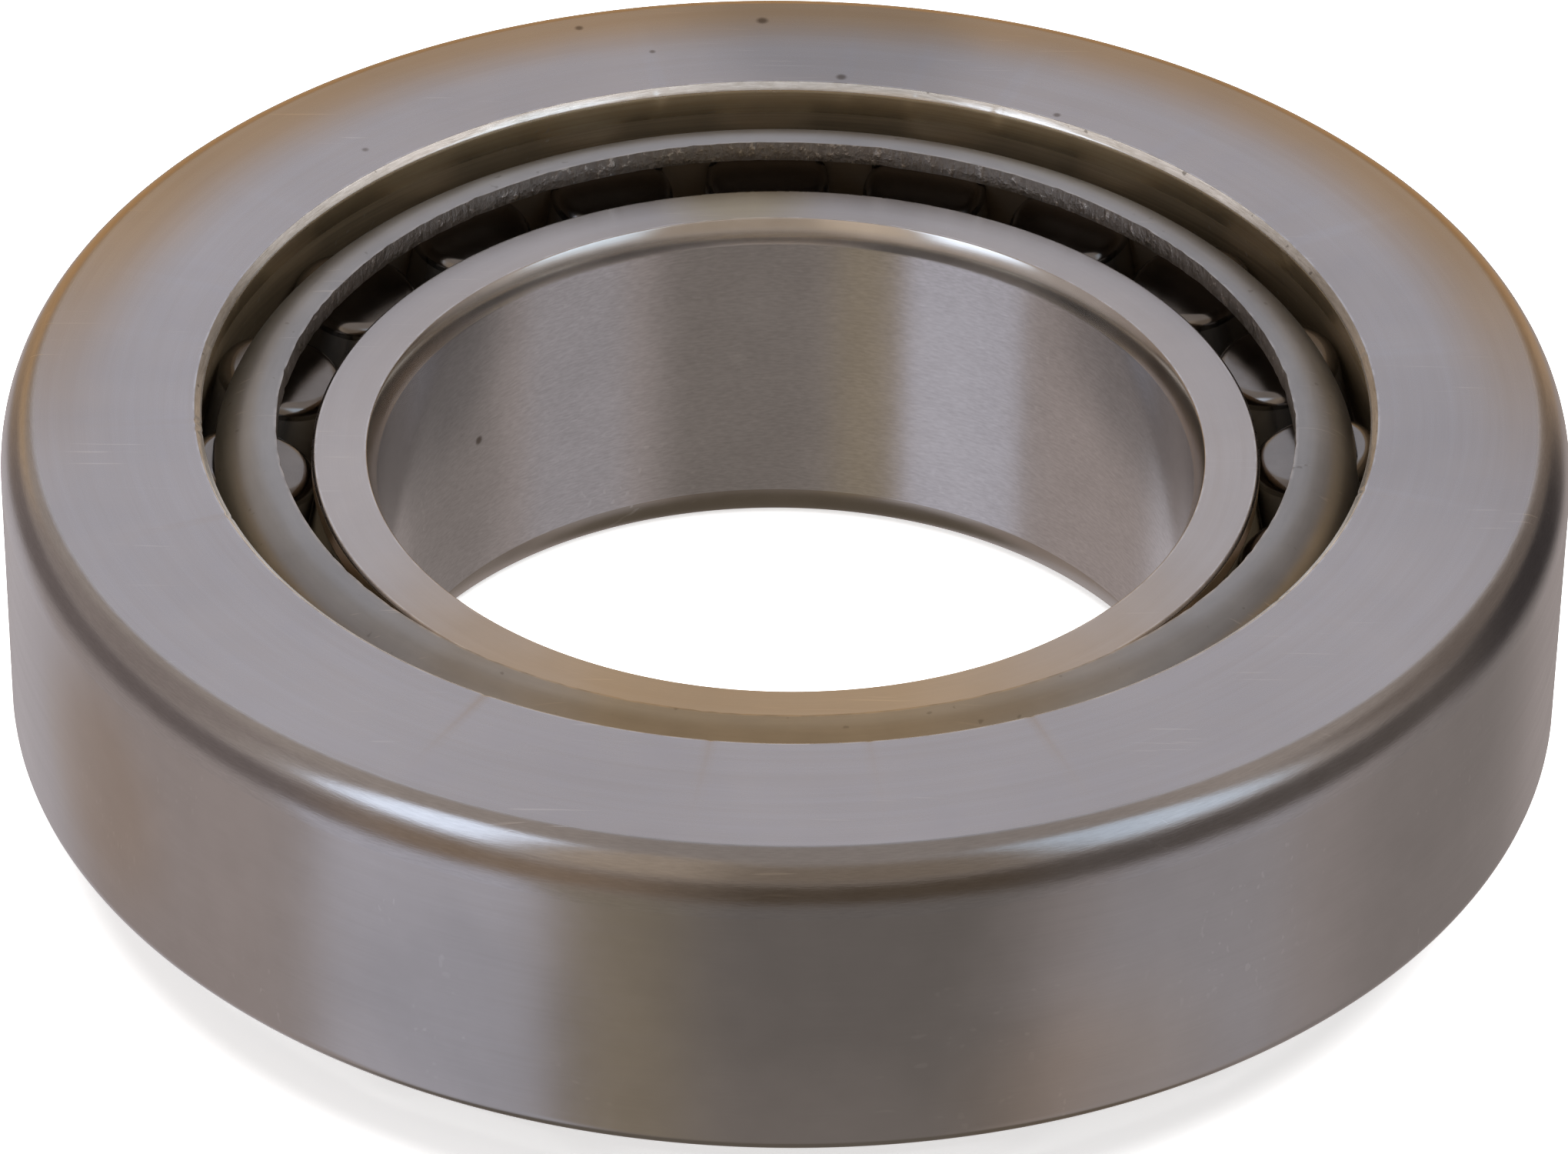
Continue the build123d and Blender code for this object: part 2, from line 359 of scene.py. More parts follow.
def steel(
    name,
    dark,
    light,
    roughness,
    grain=0.06 * MM,
    grain_turn=9.0,
    grain_depth=0.5,
    grain_colour=0.25,
    anisotropic=0.5,
    scratches=0.35,
    edge_light=0.4,
    pits=0.0,
    spots=(),
    reflection_tint=None,
    metallic=1.0,
):
    """Worn bearing steel: tool marks round the axis, cloudy colour, scratches, pits, bright edges, and tinted
    spots and a fading tint for dents, a stain, painted shade and painted reflections.

    grain is the width of a tool mark, and grain_turn is how often the marks change in a turn.
    """
    material = bpy.data.materials.new(name)
    material.use_nodes = True
    tree = material.node_tree
    shader = tree.nodes["Principled BSDF"]
    place = add(tree, "ShaderNodeTexCoord").outputs["Object"]

    cloud = noise(tree, place, CLOUD_SCALE, 3.0, 0.55)
    fine_cloud = noise(tree, place, FINE_CLOUD_SCALE, 3.0, 0.6)
    marks = grain_field(tree, place, grain, grain_turn)
    bands = grain_field(tree, place, grain * 9, grain_turn * 0.35, detail=2.0)
    edge = add(tree, "ShaderNodeAttribute", attribute_name="edge").outputs["Fac"]
    worn = calc(tree, "MULTIPLY", edge, spread(tree, noise(tree, place, WEAR_SCALE, 2.0), 0.38, 0.62))
    scratch = scratch_field(tree, place, scratches)

    share = calc(tree, "ADD", calc(tree, "MULTIPLY", cloud, 0.9), calc(tree, "MULTIPLY", fine_cloud, 0.35))
    share = calc(tree, "ADD", share, calc(tree, "MULTIPLY", marks, grain_colour))
    share = spread(tree, share, 0.45 + 0.2 * grain_colour, 0.80 + 0.75 * grain_colour, smooth=False)
    colour = blend(tree, share, (*dark, 1), (*light, 1))
    colour = blend(tree, calc(tree, "MULTIPLY", worn, edge_light), colour, WORN_COLOUR)
    colour = blend(tree, scratch, colour, SCRATCH_COLOUR)
    if pits:
        pit = spread(tree, noise(tree, place, PIT_SCALE, 1.0), 0.72, 0.78, 0.0, pits)
        colour = blend(tree, pit, colour, PIT_COLOUR)
    colour = spotted(tree, colour, place, cloud, spots)
    if reflection_tint:
        colour = with_reflection_tint(tree, colour, place, cloud, reflection_tint)
    tree.links.new(colour, shader.inputs["Base Color"])

    rough = calc(tree, "ADD", roughness - 0.07, calc(tree, "MULTIPLY", bands, 0.09))
    rough = calc(tree, "ADD", rough, calc(tree, "MULTIPLY", fine_cloud, 0.06))
    rough = calc(tree, "SUBTRACT", rough, calc(tree, "MULTIPLY", worn, 0.08), clamp=True)
    tree.links.new(rough, shader.inputs["Roughness"])

    height = calc(tree, "ADD", marks, calc(tree, "MULTIPLY", bands, 0.7))
    height = calc(tree, "SUBTRACT", height, calc(tree, "MULTIPLY", scratch, 1.5))
    bump = add(
        tree,
        "ShaderNodeBump",
        {"Strength": grain_depth, "Distance": MARK_DEPTH, "Height": height},
    )
    tree.links.new(bump.outputs[0], shader.inputs["Normal"])
    around = add(tree, "ShaderNodeTangent", direction_type="RADIAL", axis="Z")
    tree.links.new(around.outputs[0], shader.inputs["Tangent"])
    shader.inputs["Metallic"].default_value = metallic
    shader.inputs["Anisotropic"].default_value = anisotropic
    shader.inputs["Anisotropic Rotation"].default_value = 0.25
    return material


def sheared_steel(name):
    """The torn edge that a punch leaves: matt, grey and lumpy, with bright broken points."""
    material = bpy.data.materials.new(name)
    material.use_nodes = True
    tree = material.node_tree
    shader = tree.nodes["Principled BSDF"]
    place = add(tree, "ShaderNodeTexCoord").outputs["Object"]
    lumps = noise(tree, place, LUMP_SCALE, 4.0, 0.65)
    tall = add(tree, "ShaderNodeMapping", {"Vector": place, "Scale": (1, 1, 0.25)}).outputs[0]
    drag = noise(tree, tall, DRAG_SCALE, 3.0, 0.6)
    bright = spread(tree, lumps, 0.56, 0.68)
    colour = blend(tree, drag, (0.26, 0.245, 0.23, 1), (0.50, 0.485, 0.47, 1))
    colour = blend(tree, bright, colour, (0.88, 0.87, 0.85, 1))
    tree.links.new(colour, shader.inputs["Base Color"])
    tree.links.new(spread(tree, lumps, 0.3, 0.7, 0.55, 0.28), shader.inputs["Roughness"])
    height = calc(tree, "ADD", lumps, calc(tree, "MULTIPLY", drag, 0.8))
    bump = add(tree, "ShaderNodeBump", {"Strength": 1.0, "Distance": TEAR_DEPTH, "Height": height})
    tree.links.new(bump.outputs[0], shader.inputs["Normal"])
    shader.inputs["Metallic"].default_value = 1.0
    return material


# Tints that darken the steel under them: dents, a stain, painted shade, and painted tan and brown
# reflections.
# The painted tan reflection is heaviest on the back of the outer ring's top edge.
TAN_REFLECTION = (1.0, 0.78, 0.50)
YELLOW = (0.95, 0.86, 0.60)
BROWN_REFLECTION = (0.68, 0.56, 0.44)
DENT_AND_SHADE = (0.30, 0.26, 0.22)
SHADE = (0.66, 0.68, 0.70)
REFLECTED_TAN = (0.95, 0.71, 0.44)
# The painted tan reflection at the rim: its tint, and the radius, front-to-back and height ranges over which
# it fades in.
RIM_REFLECTION = (REFLECTED_TAN, (36.2 * MM, 41.0 * MM), (-14 * MM, 20 * MM), (16.5 * MM, 21.5 * MM))
FRONT_SHADE = [
    (SHADE, 0.6, (4 * MM, -42.5 * MM, 21 * MM), 18 * MM),
    (SHADE, 0.3, (-16 * MM, -39.4 * MM, 12 * MM), 9 * MM),
]

ring_face = steel(
    "ring_face",
    (0.52, 0.515, 0.54),
    (0.61, 0.605, 0.63),
    0.27,
    grain_turn=5.0,
    grain_depth=0.25,
    spots=[
        (DENT_AND_SHADE, 0.9, (-1.7 * MM, 38.6 * MM, 23.7 * MM), 0.50 * MM),
        (DENT_AND_SHADE, 0.8, (2.9 * MM, 32.5 * MM, 23.7 * MM), 0.42 * MM),
        (DENT_AND_SHADE, 0.8, (-12.3 * MM, 37.5 * MM, 23.7 * MM), 0.35 * MM),
        (DENT_AND_SHADE, 0.7, (-8.0 * MM, 35.0 * MM, 23.7 * MM), 0.28 * MM),
        (DENT_AND_SHADE, 0.7, (15.2 * MM, 28.7 * MM, 23.7 * MM), 0.30 * MM),
        (DENT_AND_SHADE, 0.6, (-24.0 * MM, 24.0 * MM, 23.7 * MM), 0.30 * MM),
        (SHADE, 0.8, (2 * MM, 38 * MM, 23.7 * MM), 14 * MM),
        (SHADE, 0.2, (42 * MM, 2 * MM, 23.7 * MM), 24 * MM),
    ],
    # The tint towards the outer edge, heaviest at the back, is a painted tan reflection.
    reflection_tint=RIM_REFLECTION,
)
ring_corner = steel(
    "ring_corner",
    (0.47, 0.46, 0.465),
    (0.62, 0.61, 0.615),
    0.18,
    grain=0.08 * MM,
    grain_turn=60.0,
    grain_depth=1.0,
    grain_colour=1.0,
    anisotropic=0.4,
    scratches=0.5,
    spots=FRONT_SHADE,
    # The painted tan reflection of the top edge carries on over the rounding.
    reflection_tint=RIM_REFLECTION,
)
ring_side = steel(
    "ring_side",
    (0.50, 0.485, 0.48),
    (0.60, 0.585, 0.585),
    0.21,
    grain=0.05 * MM,
    grain_depth=0.3,
    anisotropic=0.5,
    scratches=0.2,
    spots=[
        # The two tan spots on the front are painted tan reflections.
        (TAN_REFLECTION, 0.35, (-36 * MM, -23 * MM, 14 * MM), 9 * MM),
        (TAN_REFLECTION, 0.3, (16 * MM, -39 * MM, 7 * MM), 10 * MM),
        *FRONT_SHADE,
    ],
    # The tint over the top of the side is the same painted tan reflection.
    reflection_tint=RIM_REFLECTION,
)
# The chamfer's near-white light colour, lit by the overhead lamp through the share that isn't metallic, is a
# painted glint. The two wide dark spots at the left and right and the spot at the back are painted shade,
# which keeps the glint to the back left and back right.
ring_chamfer = steel(
    "ring_chamfer",
    (0.32, 0.285, 0.235),
    (1.0, 0.98, 0.96),
    0.16,
    grain_colour=1.2,
    grain_turn=44.0,
    edge_light=0.12,
    pits=0.6,
    spots=[
        (DENT_AND_SHADE, 0.9, (31.5 * MM, 2 * MM, 23.5 * MM), 20 * MM),
        (DENT_AND_SHADE, 0.9, (-31.5 * MM, 2 * MM, 23.5 * MM), 20 * MM),
        (SHADE, 0.8, (0, 31.7 * MM, 23.5 * MM), 14 * MM),
    ],
    metallic=0.75,
)
raceway = steel(
    "raceway",
    (0.34, 0.26, 0.16),
    (0.62, 0.50, 0.34),
    0.42,
    grain=0.2 * MM,
    grain_turn=3.0,
    grain_colour=2.0,
    anisotropic=0.6,
    edge_light=0.1,
    metallic=0.8,
)
raceway_land = steel(
    "raceway_land",
    (0.78, 0.60, 0.36),
    (1.0, 0.87, 0.63),
    0.33,
    grain=0.16 * MM,
    grain_turn=3.0,
    grain_depth=1.0,
    grain_colour=2.6,
    anisotropic=0.6,
    edge_light=0.1,
)
rib_wall = steel(
    "rib_wall",
    (0.42, 0.26, 0.13),
    (0.62, 0.42, 0.24),
    0.30,
    grain_turn=5.0,
    edge_light=0.1,
    metallic=0.85,
)
inner_face = steel(
    "inner_face",
    (0.58, 0.565, 0.57),
    (0.70, 0.685, 0.69),
    0.30,
    grain_turn=5.0,
    scratches=0.5,
    spots=[
        # The tan spot over the front is a painted tan reflection; the yellow spot at the back is a stain, and
        # the last spot is painted shade.
        (TAN_REFLECTION, 1.0, (0, -25 * MM, 20.3 * MM), 27 * MM),
        (YELLOW, 0.8, (-3 * MM, 25.5 * MM, 20.3 * MM), 6 * MM),
        (SHADE, 0.35, (0, 25 * MM, 20.3 * MM), 16 * MM),
    ],
)
bore_corner = steel(
    "bore_corner",
    (0.62, 0.60, 0.58),
    (0.84, 0.83, 0.81),
    0.15,
    grain_turn=14.0,
    grain_depth=0.25,
    grain_colour=0.1,
    scratches=0.4,
    edge_light=0.15,
    metallic=0.97,
    spots=[
        # The tan spot at the front is a painted tan reflection, and the two brown spots at the sides are
        # painted brown reflections.
        (TAN_REFLECTION, 0.7, (0, -22.5 * MM, 20.3 * MM), 24 * MM),
        (BROWN_REFLECTION, 0.8, (22.5 * MM, 1 * MM, 20 * MM), 15 * MM),
        (BROWN_REFLECTION, 0.8, (-22.5 * MM, 1 * MM, 20 * MM), 15 * MM),
    ],
)
bore_back = steel(
    "bore_back",
    (0.36, 0.32, 0.28),
    (0.50, 0.46, 0.41),
    0.22,
    grain_turn=14.0,
    edge_light=0.15,
)
bore_wall = steel(
    "bore_wall",
    (0.46, 0.445, 0.44),
    (0.72, 0.705, 0.705),
    0.19,
    grain=0.12 * MM,
    grain_turn=48.0,
    grain_depth=0.7,
    grain_colour=1.3,
    anisotropic=0.45,
    scratches=0.3,
    edge_light=0.0,
    spots=[
        (DENT_AND_SHADE, 0.9, (-17.3 * MM, 13.9 * MM, 10.8 * MM), 0.35 * MM),
        (SHADE, 1.0, (20.5 * MM, 9 * MM, 20 * MM), 12 * MM),
        (SHADE, 1.0, (-20.5 * MM, 9 * MM, 20 * MM), 12 * MM),
    ],
)
cage_sheet = steel(
    "cage_sheet",
    (0.39, 0.41, 0.44),
    (0.54, 0.565, 0.60),
    0.38,
    grain=0.3 * MM,
    grain_depth=0.3,
    anisotropic=0.2,
    pits=0.3,
    # The tan spot at the front is a painted tan reflection.
    spots=[(TAN_REFLECTION, 1.0, (0, -29 * MM, 22 * MM), 25 * MM)],
)
# The inner side of the sheet is darker and browner than the outer side: painted shade under the cage.
shaded_cage_inside = steel(
    "shaded_cage_inside",
    (0.28, 0.22, 0.16),
    (0.42, 0.35, 0.27),
    0.5,
    anisotropic=0.0,
    metallic=0.8,
)
cage_edge = sheared_steel("cage_edge")
roller_steel = steel(
    "roller_steel",
    (0.42, 0.40, 0.38),
    (0.56, 0.545, 0.53),
    0.20,
    grain=0.05 * MM,
    anisotropic=0.4,
    scratches=0.2,
    metallic=0.88,
)
# The roller ends are darker than the roller sides: painted shade of the gap between the cage and the cone.
shaded_roller_end = steel(
    "shaded_roller_end",
    (0.22, 0.215, 0.215),
    (0.37, 0.36, 0.355),
    0.17,
    grain=0.05 * MM,
    anisotropic=0.3,
    scratches=0.3,
)


# ---------------------------------------------------------------- pieces


def make_outer_ring():
    """The cup. Its small inner edge is chamfered, and has a few nicks."""
    radius, top, front = outer_high.x, outer_high.z, outer_low.z
    corner_radial, corner_axial = 1.95 * MM, 3.2 * MM
    front_corner, lip, edge_rounding = 1.0 * MM, 0.5 * MM, 0.16 * MM
    lip_height, land_height = front + lip, top - 2.1 * MM
    back_centre = (radius - corner_radial, top - corner_axial)
    front_centre = (radius - front_corner, front + front_corner)
    corners = [
        (RACEWAY_SMALL_RADIUS, top - EDGE_AXIAL, edge_rounding, "chamfer"),
        (RACEWAY_SMALL_RADIUS + EDGE_RADIAL, top, SHARP, "face"),
        *ellipse(back_centre, corner_radial, corner_axial, 90, 0, "corner", "side"),
        *ellipse(front_centre, front_corner, front_corner, 0, -90, "side", "face", 8),
        (outer_raceway(front) + lip, front, SHARP, "chamfer"),
        (outer_raceway(lip_height), lip_height, SHARP, "raceway"),
        (outer_raceway(land_height), land_height, 0, "land"),
    ]
    segments = 720
    nicked = rng.random(segments) > 0.96
    depth = np.where(nicked, rng.uniform(0.015 * MM, 0.06 * MM, segments), 0.002 * MM)

    def wobble(out, up, k, edge):
        """A point of the outline at one step of the turn, moved back where the inner edge has a nick."""
        inner_edge = out < RACEWAY_SMALL_RADIUS + 2 * EDGE_RADIAL and up > top - 2 * EDGE_AXIAL
        return (out + depth[k], up - depth[k] / 2) if edge and inner_edge else (out, up)

    finishes = {
        "chamfer": ring_chamfer,
        "face": ring_face,
        "corner": ring_corner,
        "side": ring_side,
        "raceway": raceway,
        "land": raceway_land,
    }
    return revolve("outer_ring_turned", held(rounded(corners)), segments, finishes, wobble)


def make_inner_ring():
    """The cone. Its ribs' inner walls stand square to the rollers' axes, on each side of the raceway."""
    bore, top = 22.225 * MM, inner_high.z
    front_radial, front_axial, front_arc = 0.55 * MM, 1.45 * MM, 3.5 * MM
    back_radial, back_axial, back_arc = 1.0 * MM, 2.0 * MM, 4.0 * MM
    rib, rib_edge, rib_chamfer = 25.75 * MM, 0.15 * MM, 0.6 * MM
    relief, relief_width, small_rib_gap = 0.3 * MM, 0.9 * MM, 0.35 * MM
    small_face, large_face = NEAR_END - small_rib_gap, FAR_END + CLEARANCE
    small_foot = beside_axis(small_face, -small_face * tan(HALF_TAPER))
    large_foot = beside_axis(large_face, -large_face * tan(HALF_TAPER))
    slope = tan(ROLLER_AXIS_ANGLE)
    rib_radius = inner_high.x
    rib_top = large_foot[1] + (rib_radius - large_foot[0]) * slope
    race_start, race_end = small_foot[1] - relief_width, large_foot[1] + relief_width
    corners = [
        *arc((bore + back_radial, 0), (bore, back_axial), back_arc, "back"),
        (bore, back_axial, 0, "bore"),
        *arc((bore, top - front_axial), (bore + front_radial, top), front_arc, "corner"),
        (bore + front_radial, top, SHARP, "face"),
        (rib - rib_edge, top, SHARP, "face"),
        (rib, top - rib_edge, SHARP, "rib"),
        (rib, small_foot[1] + (rib - small_foot[0]) * slope, SHARP, "raceway"),
        (*small_foot, 0, "raceway"),
        (inner_raceway(race_start) - relief, (small_foot[1] + race_start) / 2, relief, "raceway"),
        (inner_raceway(race_start), race_start, SHARP, "raceway"),
        (inner_raceway(race_end), race_end, SHARP, "raceway"),
        (large_foot[0] - relief, large_foot[1], relief, "raceway"),
        (large_foot[0] + relief_width / 2, large_foot[1] + relief_width / 2 * slope, 0, "face"),
        (rib_radius, rib_top, 2 * SHARP, "face"),
        (rib_radius, rib_chamfer, SHARP, "face"),
        (rib_radius - rib_chamfer, 0, SHARP, "face"),
    ]
    finishes = {
        "bore": bore_wall,
        "corner": bore_corner,
        "back": bore_back,
        "face": inner_face,
        "rib": rib_wall,
        "raceway": raceway,
    }
    segments = 512
    return revolve("inner_ring_turned", held(rounded(corners)), segments, finishes)


def spaced(start, stop, count):
    """Evenly spaced values from start up to, but without, stop."""
    return [start + (stop - start) * k / count for k in range(count)]


def make_cage():
    """A pressed sheet. Its outer surface is a grid with a window for each roller, thickened at the end."""
    sheet, gap, bend, corner = 1.2 * MM, 1.27 * MM, 3.0 * MM, 0.6 * MM
    end_room, side_room, burr = 0.3 * MM, 0.15 * MM, 0.035 * MM
    inner_radius, top, foot = 27.6 * MM, cage_high.z, cage_low.z
    lean = OUTER_RACEWAY_ANGLE
    reach = outer_raceway(0) * cos(lean) - gap
    bend_radius = (reach - bend - (top - bend) * sin(lean)) / cos(lean)
    flat_length = bend_radius - inner_radius
    bend_length = bend * (pi / 2 - lean)
    cone_start = (bend_radius + bend * cos(lean), top - bend + bend * sin(lean))
    full_length = flat_length + bend_length + (cone_start[1] - foot) / cos(lean)

    def surface(length):
        """(radius, height) after a length along the sheet from its inner edge: flat, bend, then cone."""
        if length < flat_length:
            return inner_radius + length, top
        if length < flat_length + bend_length:
            turn = pi / 2 - (length - flat_length) / bend
            return bend_radius + bend * cos(turn), top - bend + bend * sin(turn)
        rest = length - flat_length - bend_length
        return cone_start[0] + rest * sin(lean), cone_start[1] - rest * cos(lean)

    def half_width(distance):
        """Half of a window's width: a roller's, where the sheet cuts it, and some room at its side."""
        radius = distance * ROLLER_SIDE
        offset = distance * tan(HALF_TAPER) - gap - sheet
        return sqrt(radius**2 - offset**2) + side_room

    def length_at(distance):
        """The length along the sheet beside a point of the roller's axis, at a distance from the apex."""
        height = beside_axis(distance, distance * tan(HALF_TAPER) - gap)[1]
        if height > cone_start[1]:
            return flat_length + bend * (pi / 2 - asin((height - top + bend) / bend))
        return flat_length + bend_length + (cone_start[1] - height) / cos(lean)

    near_end, far_end = NEAR_END - end_room, FAR_END + end_room
    start, stop = length_at(near_end), length_at(far_end)
    corner_turn = radians(18)
    curve = [corner * (1 - cos(corner_turn * k)) for k in range(6)]
    stops = [
        *spaced(0.0, flat_length, 3),
        *spaced(flat_length, start, 9),
        *[start + depth for depth in curve],
        *spaced(start + corner, stop - corner, 14)[1:],
        *[stop - depth for depth in reversed(curve)],
        *[stop + (full_length - stop) * k / 4 for k in range(1, 5)],
    ]
    count, bar_steps, window_steps = len(roller_joints), 3, 10
    first = Vector(roller_joints[0]["pos_m"]).xy.angle_signed(Vector((1, 0)))
    pitch = 2 * pi / count
    columns = 2 * bar_steps + window_steps
    around = count * columns
    torn = rng.normal(0, burr, around)
    points, faces, edges = [], [], []
    for row, length in enumerate(stops):
        radius, height = surface(length)
        inside = min(max(length, start), stop)
        share = (inside - start) / (stop - start)
        width = half_width(near_end) * (1 - share) + half_width(far_end) * share
        depth = max(0.0, corner - min(inside - start, stop - inside))
        width -= corner - sqrt(max(0.0, corner**2 - depth**2))
        side = asin(width / radius)
        bar = spaced(-pitch / 2, -side, bar_steps)
        window = spaced(-side, side, window_steps)
        other_bar = spaced(side, pitch / 2, bar_steps)
        for sector in range(count):
            for column, offset in enumerate(bar + window + other_bar):
                turn = first + sector * pitch + offset
                ragged = torn[sector * columns + column] if row == 0 else 0.0
                out = radius + max(0.0, ragged)
                points.append((out * cos(turn), out * sin(turn), height))
                edges.append(1.0 if row == 0 else 0.0)
    for row in range(len(stops) - 1):
        middle = (stops[row] + stops[row + 1]) / 2
        upper, lower = row * around, (row + 1) * around
        for here in range(around):
            there = (here + 1) % around
            in_window = bar_steps <= here % columns < bar_steps + window_steps
            if not (start < middle < stop and in_window):
                faces.append((upper + here, lower + here, lower + there, upper + there))
    points, faces, edges = without_loose(points, faces, edges)
    finishes = [cage_sheet, cage_edge, shaded_cage_inside]
    made = object_from("cage_pressed", points, faces, [0] * len(faces), finishes, edges)
    thick = made.modifiers.new("sheet", "SOLIDIFY")
    thick.thickness = sheet
    thick.offset = -1.0
    thick.use_even_offset = True
    thick.material_offset = finishes.index(shaded_cage_inside)
    thick.material_offset_rim = finishes.index(cage_edge)
    soft = made.modifiers.new("burnished", "BEVEL")
    soft.width = 0.09 * MM
    soft.segments = 2
    soft.limit_method = "ANGLE"
    soft.angle_limit = radians(50)
    return made


def roller_mesh():
    """One roller about its own axis: its small end is up, and its large end is slightly domed."""
    corner, dome = 0.75 * MM, 135 * MM
    half = ROLLER_LENGTH / 2
    small, large = NEAR_END * ROLLER_SIDE, FAR_END * ROLLER_SIDE
    edge = large - corner
    halfway = edge * 0.5

    def dome_rise(radius):
        return dome - sqrt(dome**2 - radius**2)

    small_centre = (small - corner, half - corner)
    large_centre = (edge, dome_rise(edge) - half + corner)
    corners = [
        (0, half, 0, "end"),
        *ellipse(small_centre, corner, corner, 90, 0, "end", "side", 8),
        *ellipse(large_centre, corner, corner, 0, -90, "end", "end", 8),
        (halfway, dome_rise(halfway) - half, 0, "end"),
        (0, -half, 0, "end"),
    ]
    segments = 96
    finishes = {"side": roller_steel, "end": shaded_roller_end}
    made = revolve("roller_turned", held(rounded(corners)), segments, finishes)
    mesh = made.data
    bpy.data.objects.remove(made)
    return mesh


def make_rollers():
    """All the rollers share one mesh, and each stands on its own joint's axis."""
    mesh = roller_mesh()
    for joint in roller_joints:
        upwards = Vector(joint["axis"]).normalized()
        level = Vector((*joint["pos_m"][:2], 0))
        outwards = (level - upwards * upwards.dot(level)).normalized()
        basis = Matrix((outwards, upwards.cross(outwards), upwards)).transposed().to_4x4()
        roller = bpy.data.objects.new(joint["child"] + "_ground", mesh)
        bpy.context.scene.collection.objects.link(roller)
        roller.matrix_world = Matrix.Translation(joint["pos_m"]) @ basis
        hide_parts(joint["child"])
        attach(roller, joint["child"])


rings = {"outer_ring": make_outer_ring(), "inner_ring": make_inner_ring(), "cage": make_cage()}
for node, made in rings.items():
    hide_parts(node)
    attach(made, node)
make_rollers()


# ---------------------------------------------------------------- floor, light and camera


def make_floor():
    """A pale light table. Metal mirrors the studio instead of it, and from below it isn't there."""
    mesh = bpy.data.meshes.new("floor")
    size = 6.0
    corners = [(-size, -size, 0), (size, -size, 0), (size, size, 0), (-size, size, 0)]
    mesh.from_pydata(corners, [], [(0, 1, 2, 3)])
    floor = bpy.data.objects.new("floor", mesh)
    bpy.context.scene.collection.objects.link(floor)
    material = bpy.data.materials.new("pale_floor")
    material.use_nodes = True
    tree = material.node_tree
    shader = tree.nodes["Principled BSDF"]
    place = add(tree, "ShaderNodeTexCoord").outputs["Object"]
    colour = blend(tree, noise(tree, place, FLOOR_SCALE, 3.0), (0.90, 0.90, 0.90, 1), (0.94, 0.94, 0.94, 1))
    tree.links.new(colour, shader.inputs["Base Color"])
    shader.inputs["Roughness"].default_value = 0.8
    shader.inputs["Emission Color"].default_value = (1, 1, 1, 1)
    shader.inputs["Emission Strength"].default_value = 0.62
    clear = add(tree, "ShaderNodeBsdfTransparent")
    below = add(tree, "ShaderNodeNewGeometry").outputs["Backfacing"]
    shown = add(tree, "ShaderNodeMixShader", {0: below, 1: shader.outputs[0], 2: clear.outputs[0]})
    tree.links.new(shown.outputs[0], tree.nodes["Material Output"].inputs["Surface"])
    mesh.materials.append(material)
    floor.visible_glossy = False


# What the metal mirrors, each patch over the ones before it: (middle, half width, softness) about +Z from +X,
# (lowest, highest, softness) in elevation, all in degrees, and the colour.
STUDIO = {
    "back_wall": ((92, 13, 10), (27, 47, 5), (0.635, 0.625, 0.675)),
    "wooden_rail": ((96, 36, 18), (-14, 22, 7), (0.56, 0.40, 0.25)),
    "left_shade": ((164, 20, 14), (8, 52, 8), (0.33, 0.275, 0.25)),
    "front_shade": ((274, 30, 14), (12, 50, 8), (0.32, 0.25, 0.19)),
    "warm_corner": ((249, 9, 8), (14, 60, 8), (0.54, 0.43, 0.33)),
    "right_shade": ((32, 30, 16), (12, 46, 8), (0.21, 0.17, 0.145)),
    "bench_back": ((126, 18, 16), (-60, -20, 6), (0.545, 0.505, 0.52)),
    "bench_left": ((166, 24, 10), (-60, -20, 6), (0.42, 0.36, 0.34)),
    "tan_strip": ((249, 9, 6), (-60, -18, 6), (0.33, 0.275, 0.205)),
    "camera_side": ((282, 24, 9), (-60, -18, 6), (0.245, 0.215, 0.195)),
    "bench_right": ((26, 22, 10), (-60, -22, 6), (0.30, 0.265, 0.25)),
    "left_panel": ((217, 18, 3), (-60, -20, 5), (0.58, 0.565, 0.62)),
    "right_panel": ((334, 15, 6), (-60, -20, 6), (0.43, 0.405, 0.42)),
    "left_horizon": ((172, 44, 18), (-20, 6, 6), (0.20, 0.165, 0.155)),
    "front_horizon": ((238, 24, 14), (-17, 8, 6), (0.31, 0.225, 0.16)),
    "middle_horizon": ((285, 26, 12), (-19, 10, 6), (0.13, 0.095, 0.065)),
    "right_horizon": ((350, 42, 14), (-20, 12, 7), (0.125, 0.105, 0.094)),
    "dark_horizon": ((36, 14, 11), (-25, 16, 7), (0.06, 0.051, 0.049)),
    "left_window": ((217, 12, 7), (19, 57, 6), (1.32, 1.44, 1.66)),
    "right_window": ((327, 15, 8), (19, 58, 7), (0.84, 0.94, 1.06)),
}


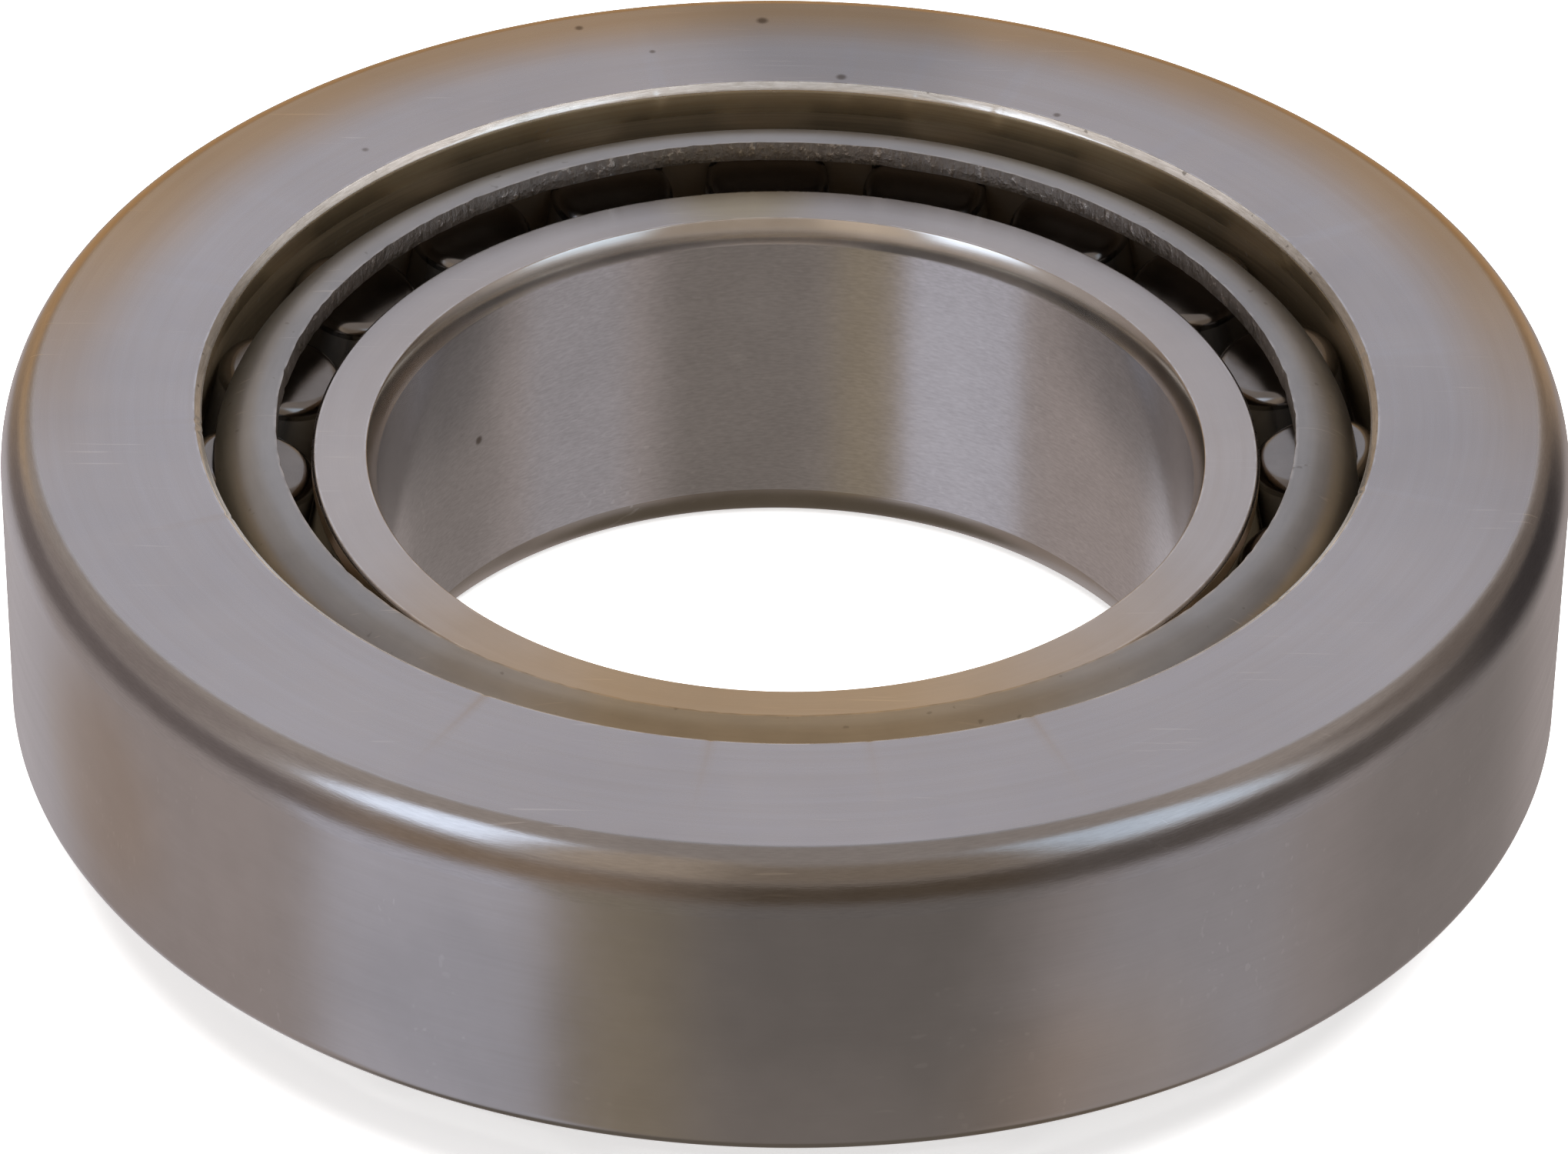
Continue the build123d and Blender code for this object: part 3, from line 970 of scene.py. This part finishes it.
def make_world():
    """The studio, which only the metal sees: the camera sees white."""
    world = bpy.data.worlds.new("studio")
    bpy.context.scene.world = world
    world.use_nodes = True
    tree = world.node_tree
    background = tree.nodes["Background"]
    direction = add(tree, "ShaderNodeTexCoord").outputs["Generated"]
    split = add(tree, "ShaderNodeSeparateXYZ", {0: direction})
    level = add(tree, "ShaderNodeCombineXYZ", {"X": split.outputs["X"], "Y": split.outputs["Y"]})
    level = add(tree, "ShaderNodeVectorMath", {0: level.outputs[0]}, operation="NORMALIZE").outputs[0]
    elevation = calc(tree, "MULTIPLY", calc(tree, "ARCSINE", split.outputs["Z"]), 180 / pi)
    underneath = (0.16, 0.136, 0.11, 1)
    bench = (0.41, 0.36, 0.345, 1)
    ceiling = (0.42, 0.36, 0.32, 1)
    colour = blend(tree, spread(tree, elevation, -66.0, -54.0), underneath, bench)
    colour = blend(tree, spread(tree, elevation, -12.0, 26.0), colour, ceiling)
    for (middle, half, soft), (low, high, blur), tint in STUDIO.values():
        aim = (cos(radians(middle)), sin(radians(middle)), 0)
        facing = add(tree, "ShaderNodeVectorMath", {0: level, 1: aim}, operation="DOT_PRODUCT")
        across = spread(tree, facing.outputs["Value"], cos(radians(half + soft)), cos(radians(half - soft)))
        above = spread(tree, elevation, low - blur, low + blur)
        below = spread(tree, elevation, high - blur, high + blur, 1.0, 0.0)
        share = calc(tree, "MULTIPLY", across, calc(tree, "MULTIPLY", above, below))
        colour = blend(tree, share, colour, (*tint, 1))
    seen = add(tree, "ShaderNodeLightPath").outputs["Is Camera Ray"]
    tree.links.new(blend(tree, seen, colour, (1, 1, 1, 1)), background.inputs["Color"])


def make_light():
    """A broad soft lamp overhead. It whitens the floor, and the metal mirrors only the studio round it."""
    data = bpy.data.lights.new("overhead", "SUN")
    data.energy = 8.0
    data.angle = radians(70)
    lamp = bpy.data.objects.new("overhead", data)
    lamp.rotation_euler = (radians(-8), radians(6), 0)
    lamp.visible_glossy = False
    bpy.context.scene.collection.objects.link(lamp)


def make_camera():
    """The camera looks down along +Y at the middle of the bearing, a little rolled."""
    elevation, roll, distance = radians(35.24), radians(0.78), 440.1 * MM
    aim = Vector((0, 0, (cad_low.z + cad_high.z) / 2 - 0.37 * MM))
    forward = Vector((0, cos(elevation), -sin(elevation)))
    level_up = Vector((0, sin(elevation), cos(elevation)))
    level_right = Vector((1, 0, 0))
    right = level_right * cos(roll) + level_up * sin(roll)
    up = level_up * cos(roll) - level_right * sin(roll)
    data = bpy.data.cameras.new("camera")
    data.sensor_width = 36.0
    data.lens = 183.8
    data.clip_start = 10 * MM
    camera = bpy.data.objects.new("camera", data)
    turn = Matrix((right, up, -forward)).transposed().to_4x4()
    camera.matrix_world = Matrix.Translation(aim - forward * distance) @ turn
    bpy.context.scene.collection.objects.link(camera)
    bpy.context.scene.camera = camera


make_floor()
make_world()
make_light()
make_camera()
bpy.context.scene.view_settings.view_transform = "Standard"
